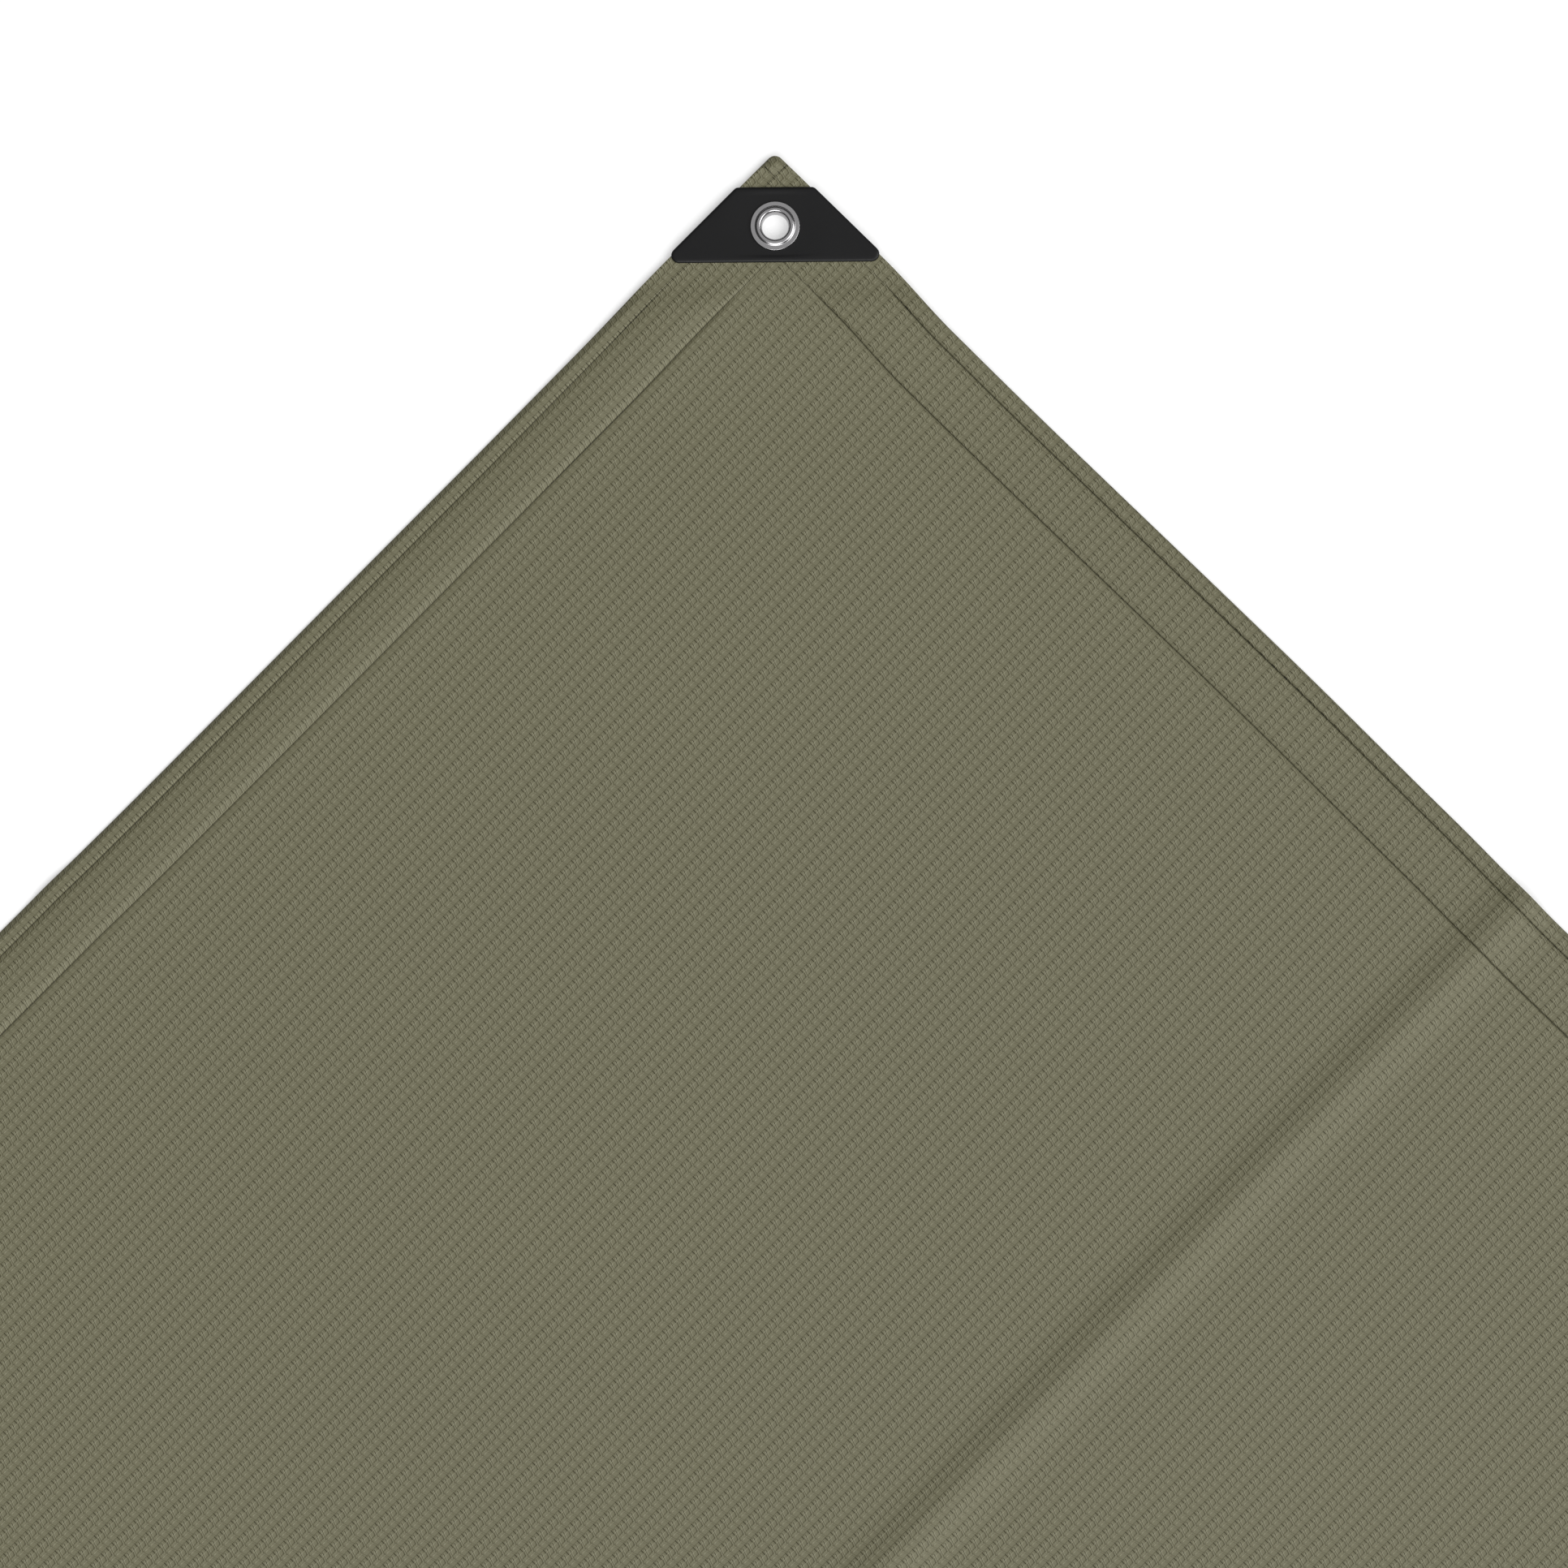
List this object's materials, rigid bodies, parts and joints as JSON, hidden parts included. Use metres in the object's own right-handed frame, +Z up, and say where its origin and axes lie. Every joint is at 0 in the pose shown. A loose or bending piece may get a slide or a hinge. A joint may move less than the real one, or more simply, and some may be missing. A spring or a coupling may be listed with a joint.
{
  "type": "small tarp laid out flat",
  "caption": "Square woven tarp in one layer with a rolled edge, turned hem, low fold creases, and a moulded sleeve with a metal eyelet at each corner.",
  "frame": {"origin": "middle of the tarp's footprint, on the surface that it lies on", "axes": "+X and +Y along the cloth's edges, corner 1 towards both, +Z up out of the surface"},
  "size_m": [0.9984, 0.9984, 0.0081],
  "materials": {
    "olive_cloth": "woven flat plastic tape, satin",
    "black_sleeve": "smooth satin black",
    "eyelet_metal": "pressed, plain bright metal"
  },
  "bodies": {
    "root": {"tarp_cloth": "olive_cloth", "cloth_corner_1": "olive_cloth", "cloth_corner_2": "olive_cloth", "cloth_corner_3": "olive_cloth", "cloth_corner_4": "olive_cloth", "corner_sleeve_1": "black_sleeve", "corner_sleeve_2": "black_sleeve", "corner_sleeve_3": "black_sleeve", "corner_sleeve_4": "black_sleeve", "eyelet_1": "eyelet_metal", "eyelet_2": "eyelet_metal", "eyelet_3": "eyelet_metal", "eyelet_4": "eyelet_metal", "eyelet_washer_1": "eyelet_metal", "eyelet_washer_2": "eyelet_metal", "eyelet_washer_3": "eyelet_metal", "eyelet_washer_4": "eyelet_metal"}
  },
  "joints": []
}
